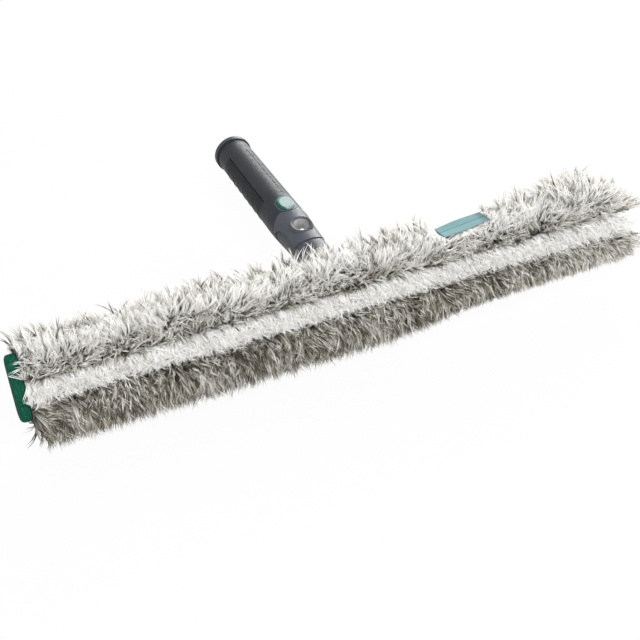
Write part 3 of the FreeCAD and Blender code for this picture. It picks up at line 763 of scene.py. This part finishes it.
def label_rise(along):
    """How far the label's slope lifts it above its middle."""
    return LABEL_RISE * (2 * (along - LABEL_START) / LABEL_LENGTH - 1)


def label_points(along, across, over):
    """Points on the label: along the bar, across it toward the back, and over its middle plane."""
    back = LABEL_MIDDLE[0] + across * math.cos(LABEL_TILT) - over * math.sin(LABEL_TILT)
    up = LABEL_MIDDLE[1] + across * math.sin(LABEL_TILT) + over * math.cos(LABEL_TILT)
    return to_frame(np.stack([along, back, up], axis=-1))


def make_label():
    """A cloth tab on the crest, folded along its middle."""
    share = np.linspace(0, 1, LABEL_COLUMNS)
    across = np.linspace(-1, 1, LABEL_ROWS) * LABEL_WIDTH / 2
    along, across = np.meshgrid(LABEL_START + share * LABEL_LENGTH, across)
    crease = -LABEL_CREASE * np.exp(-((across / LABEL_CREASE_WIDTH) ** 2))
    wave = LABEL_WAVE * np.sin(along / LABEL_WAVE_LENGTH) * across / LABEL_WIDTH
    points = label_points(along, across, crease + wave + label_rise(along))
    mesh = grid_mesh("label_cloth", points)
    layer = mesh.uv_layers.new(name=BAKE_MAP)
    u = (along - LABEL_START) / LABEL_LENGTH
    v = across / LABEL_WIDTH + 1 / 2
    uv = np.stack([u, v], axis=-1).reshape(-1, 2) * UV_RISE + UV_START
    corners = np.zeros(len(mesh.loops), dtype=np.int32)
    mesh.loops.foreach_get("vertex_index", corners)
    layer.uv.foreach_set("vector", uv[corners].astype(np.float32).ravel())
    piece = link("label_cloth", mesh, label_weave(), "label_tab")


# Fur

def tuft_places(band):
    """Jittered tuft roots over a band of the sleeve: distance along the bar and round the section."""
    rows = round((band.high - band.low) / band.step[1])
    columns = round(2 * SLEEVE_END / band.step[0])
    row, column = np.meshgrid(np.arange(rows), np.arange(columns), indexing="ij")
    jitter = random.uniform(-JITTER_SHARE, JITTER_SHARE, size=(2, rows, columns))
    along = ((column + row % 2 / 2 + jitter[0] + FIRST_SHARE) / columns - 1 / 2) * 2 * SLEEVE_END
    place = band.low + (row + jitter[1] + 1 / 2) / rows * (band.high - band.low)
    keep = (np.abs(along) < SLEEVE_END) & ~bare(along, place)
    return along[keep], place[keep]


def bare(along, place):
    """Where the closure and the neck leave no fur."""
    centre, normal = section(place)
    up = centre[..., 1]
    back = normal[..., 0] > BACK_SHARE
    half = CLOSURE_HALF + CLOSURE_GAP
    beside = (along > CLOSURE_START) & (along < CLOSURE_START + CLOSURE_LENGTH)
    closure = back & beside & (np.abs(up) < half)
    point = to_frame(np.stack([along, normal[..., 0] * BACKING_RADIUS, up], axis=-1))
    from_axis = np.hypot(point[..., 0], point[..., 2]) / MM
    neck = back & (from_axis < NECK_RADIUS + NECK_GAP)
    return closure | neck


def from_stripe(place):
    """Distance round the section from the stripe's middle, upward."""
    half = girth() / 2
    return np.mod(place - STRIPE_SHIFT + half, girth()) - half


def comb(band, along, place):
    """How far each lock leans round the section and along the bar, for each millimetre of its height."""
    offset = from_stripe(place)
    if band.leans:
        lean = np.sign(offset) * np.interp(np.abs(offset), PLACES, band.leans)
    else:
        tip = STRIPE_HALF * random.uniform(*STRIPE_TIP_SHARES, len(along))
        lean = (tip * np.interp(along, STRIPE_PLACES, STRIPE_SHARES) - offset) / PILE_HEIGHT
    ways = []
    for _ in range(2):
        whorl = WHORL * waves(along, place, WHORL_LENGTH)
        twirl = TWIRL * waves(along, place, TWIRL_LENGTH)
        ways.append(band.unrest * (whorl + twirl))
    tangle = band.tangle * random.normal(size=(2, len(along)))
    if not band.leans:
        tangle[0] = 0
    reach = np.where(along > 0, band.flares[1], band.flares[0])
    flare = np.clip(1 - (SLEEVE_END - np.abs(along)) / FLARE_LENGTH, 0, 1) ** FLARE_BEND
    flare *= random.uniform(*FLARE_SHARES, len(along))
    return lean + ways[0] + tangle[0], ways[1] + tangle[1] + reach * flare * np.sign(along)


def lock_heights(along, normal, lean, long_share, wisp):
    """How high each lock stands over the backing, so that the leaning tips keep to the pile's outline."""
    hang = np.where(normal[:, 1] > 0, 1, np.interp(along, HANG_PLACES, HANG_SHARES))
    near_end = np.clip(1 - (SLEEVE_END - along) / END_LENGTH, 0, 1) * np.clip(normal[:, 1], 0, 1)
    level = (PILE_HEIGHT - PILE_SAG * hang * normal[:, 1]) * long_share + wisp
    level = level * (1 - END_DROP_SHARE * near_end)
    slope = 1 + lean**2
    tip = BACKING_RADIUS + level
    return (np.sqrt(BACKING_RADIUS**2 - slope * (BACKING_RADIUS**2 - tip**2)) - BACKING_RADIUS) / slope


def lock_spines(band, along, place, height, lean_round, lean_along):
    """Strands of each lock of yarn, gathered to its tip: their points and the way each is widened."""
    count = len(along)
    shape = (count, STRANDS)
    turn = np.arange(STRANDS) / STRANDS * 2 * math.pi + random.uniform(0, 2 * math.pi, (count, 1))
    reach = band.radius * random.uniform(*REACH_SHARES, shape)
    centre, normal = section(place)
    tangent = np.stack([normal[:, 1], -normal[:, 0]], axis=-1)
    tall = height[:, None] * random.uniform(*STRAND_SHARES, shape)
    lean_along = lean_along[:, None] + random.normal(0, STRAY, shape)
    lean_round = lean_round[:, None] + random.normal(0, STRAY, shape)
    curl = random.normal(0, CURL, (2, count, 1))
    root = BACKING_RADIUS + foot_lift(along, normal[:, 0], centre[:, 1])
    spines = []
    for share in np.linspace(0, 1, STRAND_POINTS):
        gather = band.tip_share + (1 - band.tip_share) * (1 - share) ** GATHER
        bend = tall * share**LEAN_BEND
        sway = np.sin(math.pi * share)
        move_along = reach * np.cos(turn) * gather + lean_along * bend + curl[0] * sway
        move_round = reach * np.sin(turn) * gather + lean_round * bend + curl[1] * sway
        flat = centre[:, None, :] + normal[:, None, :] * (root[:, None] + tall * share)[..., None]
        flat = flat + tangent[:, None, :] * move_round[..., None]
        spines.append(np.concatenate([(along[:, None] + move_along)[..., None], flat], axis=-1))
    spines = np.stack(spines, axis=2).reshape(count * STRANDS, STRAND_POINTS, 3)
    facing = np.sin(turn)[..., None] * tangent[:, None, :] + FACING * normal[:, None, :]
    outward = np.concatenate([np.cos(turn)[..., None], facing], axis=-1).reshape(-1, 3)
    return spines, outward


def press_label(spines):
    """Lay the strands under and behind the label below its plane."""
    along = spines[..., 0]
    back = spines[..., 1] - LABEL_MIDDLE[0]
    up = spines[..., 2] - LABEL_MIDDLE[1]
    over = up * math.cos(LABEL_TILT) - back * math.sin(LABEL_TILT) - label_rise(along)
    across = up * math.sin(LABEL_TILT) + back * math.cos(LABEL_TILT)
    inside = np.minimum(along - LABEL_START, LABEL_START + LABEL_LENGTH - along)
    under = LABEL_THICKNESS + LABEL_DEPTH * random.uniform(0, 1, (len(spines), 1))
    under = under + LABEL_REAR_DROP * np.maximum(across - LABEL_WIDTH / 2, 0)
    fade = np.clip(1 + inside / LABEL_MARGIN, 0, 1)
    fade = fade * np.clip(1 + (across + LABEL_WIDTH / 2 + LABEL_LEAD) / LABEL_FRONT, 0, 1)
    push = np.maximum(over + under, 0) * fade
    spines[..., 1] += push * math.sin(LABEL_TILT)
    spines[..., 2] -= push * math.cos(LABEL_TILT)
    return spines


def clear_neck(spines):
    """Push strands out of the neck, so that they lean on it."""
    across = spines[..., [0, 2]]
    away = np.linalg.norm(across, axis=-1, keepdims=True)
    limit = (NECK_RADIUS + NECK_GAP / 2) * MM
    behind = spines[..., 1:2] > BAR_CENTRE[1]
    push = np.where(behind & (away < limit), limit / np.maximum(away, MM), 1.0)
    spines[..., [0, 2]] = across * push
    return spines


def keep_low(spines):
    """Shorten the strands that would rise past the top limit."""
    root = spines[:, :1]
    rise = np.maximum(spines[:, -1:, 2:] - root[..., 2:], MM)
    room = random.uniform(*TOP_LIMITS, (len(spines), 1, 1)) - root[..., 2:]
    return root + (spines - root) * np.minimum(room / rise, 1)


def make_band(band):
    """The fur of one band, as locks of tapered strands in batches along the bar."""
    along, place = tuft_places(band)
    rise, side = comb(band, along, place)
    normal = section(place)[1]
    tuft = np.exp(-(((along - TUFT_PLACE) / TUFT_WIDTH) ** 2))
    wild = random.uniform(size=len(along)) < (WISP_SHARE + TUFT_SHARE * tuft) * np.clip(normal[:, 1], 0, 1)
    wild &= np.abs(along - LABEL_START - LABEL_LENGTH / 2) > LABEL_LENGTH / 2 + LABEL_MARGIN
    wisp = wild * (random.uniform(*WISP_LENGTHS, len(along)) + TUFT_LENGTH * tuft)
    long_share = random.uniform(*LENGTH_SHARES, len(along))
    height = lock_heights(along, normal, np.hypot(rise, side), long_share, wisp)
    spines, outward = lock_spines(band, along, place, height, rise, side)
    spines = keep_low(clear_neck(to_frame(press_label(spines))))
    outward = to_frame(outward) - BAR_CENTRE
    aside = np.cross(spines[:, -1] - spines[:, 0], outward)
    aside /= np.linalg.norm(aside, axis=1, keepdims=True)
    # Tints by the place round the section: painted light on the upper front, painted shade beside the
    # stripe and on the underside
    tint = np.interp(np.abs(from_stripe(place)), PLACES, band.tints)
    tint += np.interp(along, RIGHT_PLACES, (0, band.right_tint))
    tint += LOCK_TINT * random.normal(size=len(along))
    tint += PATCH_TINT * waves(along, place, PATCH_LENGTH) + WISP_TINT * wild
    shade = np.repeat(tint, STRANDS) + STRAND_TINT * random.normal(size=len(spines))
    width = band.width * MM * random.uniform(*WIDTH_SHARES, len(spines))
    order = np.argsort(spines[:, 0, 0])
    triangles = 2 * STRAND_POINTS - 3
    count = math.ceil(len(order) * triangles / MOST_TRIANGLES)
    for number, batch in enumerate(np.array_split(order, count), start=1):
        name = f"{band.name}_{number}"
        mesh = ribbon_mesh(name, spines[batch], aside[batch], width[batch], shade[batch])
        link(name, mesh, band.material, band.node)


def make_fur():
    """The white stripe and the grey fur above and below it."""
    grey = fibre("grey_fur", GREY_TINTS, GREY_ROOT_SHADE)
    white = fibre("white_fur", WHITE_TINTS, WHITE_ROOT_SHADE)
    low = STRIPE_SHIFT - STRIPE_HALF
    high = STRIPE_SHIFT + STRIPE_HALF
    middle = girth() / 2
    make_band(Band("fur_stripe", "pile_stripe", "pile_white", white, low, high, **STRIPE_FUR))
    make_band(Band("fur_upper", "pile_upper", "pile_grey", grey, high, middle, **UPPER_FUR))
    make_band(Band("fur_lower", "pile_lower", "pile_grey", grey, middle, girth() + low, **LOWER_FUR))


# Stage

def make_camera():
    """The camera of the front view."""
    back = Vector((
        math.sin(CAMERA_AZIMUTH) * math.cos(CAMERA_ELEVATION),
        -math.cos(CAMERA_AZIMUTH) * math.cos(CAMERA_ELEVATION),
        math.sin(CAMERA_ELEVATION),
    ))
    data = bpy.data.cameras.new("camera")
    data.lens = CAMERA_LENS
    data.clip_start = CAMERA_CLIP
    camera = bpy.data.objects.new("camera", data)
    bpy.context.scene.collection.objects.link(camera)
    camera.location = CAMERA_TARGET + back * CAMERA_DISTANCE
    camera.rotation_euler = (-back).to_track_quat("-Z", "Y").to_euler()
    bpy.context.scene.camera = camera


def make_lamps():
    """Round area lamps, each turned to its aim."""
    for lamp in LAMPS:
        data = bpy.data.lights.new(lamp.name, "AREA")
        data.shape = "DISK"
        data.size = lamp.size
        data.energy = lamp.power
        light = bpy.data.objects.new(lamp.name, data)
        bpy.context.scene.collection.objects.link(light)
        light.location = lamp.place
        way = Vector(lamp.aim) - Vector(lamp.place)
        light.rotation_euler = way.to_track_quat("-Z", "Y").to_euler()


def seen_or_reflected(nodes, links):
    """One where a ray comes from the camera, a mirror or glass."""
    path = nodes.new("ShaderNodeLightPath")
    total = path.outputs["Is Camera Ray"]
    for other in ("Is Glossy Ray", "Is Transmission Ray"):
        total = calculate(nodes, links, "MAXIMUM", total, path.outputs[other])
    return total


def make_world():
    """A soft sky for the light, and a plain backdrop where it is seen."""
    world = bpy.data.worlds.new("studio")
    bpy.context.scene.world = world
    world.use_nodes = True
    nodes, links = world.node_tree.nodes, world.node_tree.links
    lighting = nodes["Background"]
    lighting.inputs["Color"].default_value = (*SKY_TINT, 1)
    lighting.inputs["Strength"].default_value = SKY_STRENGTH
    backdrop = nodes.new("ShaderNodeBackground")
    backdrop.inputs["Color"].default_value = (*BACKDROP_TINT, 1)
    backdrop.inputs["Strength"].default_value = BACKDROP_STRENGTH
    mix = nodes.new("ShaderNodeMixShader")
    links.new(seen_or_reflected(nodes, links), mix.inputs["Fac"])
    links.new(lighting.outputs["Background"], mix.inputs[1])
    links.new(backdrop.outputs["Background"], mix.inputs[2])
    links.new(mix.outputs["Shader"], nodes["World Output"].inputs["Surface"])


def make_floor():
    """A white floor that takes a faint shadow."""
    mesh = bpy.data.meshes.new("floor")
    edit = bmesh.new()
    bmesh.ops.create_grid(edit, x_segments=FLOOR_CUTS, y_segments=FLOOR_CUTS, size=FLOOR_HALF)
    edit.to_mesh(mesh)
    edit.free()
    floor = bpy.data.objects.new("floor", mesh)
    bpy.context.scene.collection.objects.link(floor)
    floor.location.z = cad_box[0].z - FLOOR_GAP
    material, nodes, links, shader = new_material("floor")
    tint = ramp(nodes, links, noise(nodes, links, FLOOR_MOTTLE), FLOOR_TINTS)
    links.new(tint, shader.inputs["Base Color"])
    shader.inputs["Roughness"].default_value = FLOOR_ROUGH
    glow = nodes.new("ShaderNodeEmission")
    mix = nodes.new("ShaderNodeMixShader")
    share = nodes.new("ShaderNodeMath")
    share.operation = "MULTIPLY"
    share.inputs[1].default_value = FLOOR_WHITE_SHARE
    links.new(seen_or_reflected(nodes, links), share.inputs[0])
    links.new(share.outputs["Value"], mix.inputs["Fac"])
    links.new(shader.outputs["BSDF"], mix.inputs[1])
    links.new(glow.outputs["Emission"], mix.inputs[2])
    links.new(mix.outputs["Shader"], nodes["Material Output"].inputs["Surface"])
    mesh.materials.append(material)


bpy.context.scene.view_settings.view_transform = "Standard"
dress_solids()
make_backing()
make_closure()
make_pads()
make_label()
make_fur()
make_camera()
make_world()
make_floor()
make_lamps()
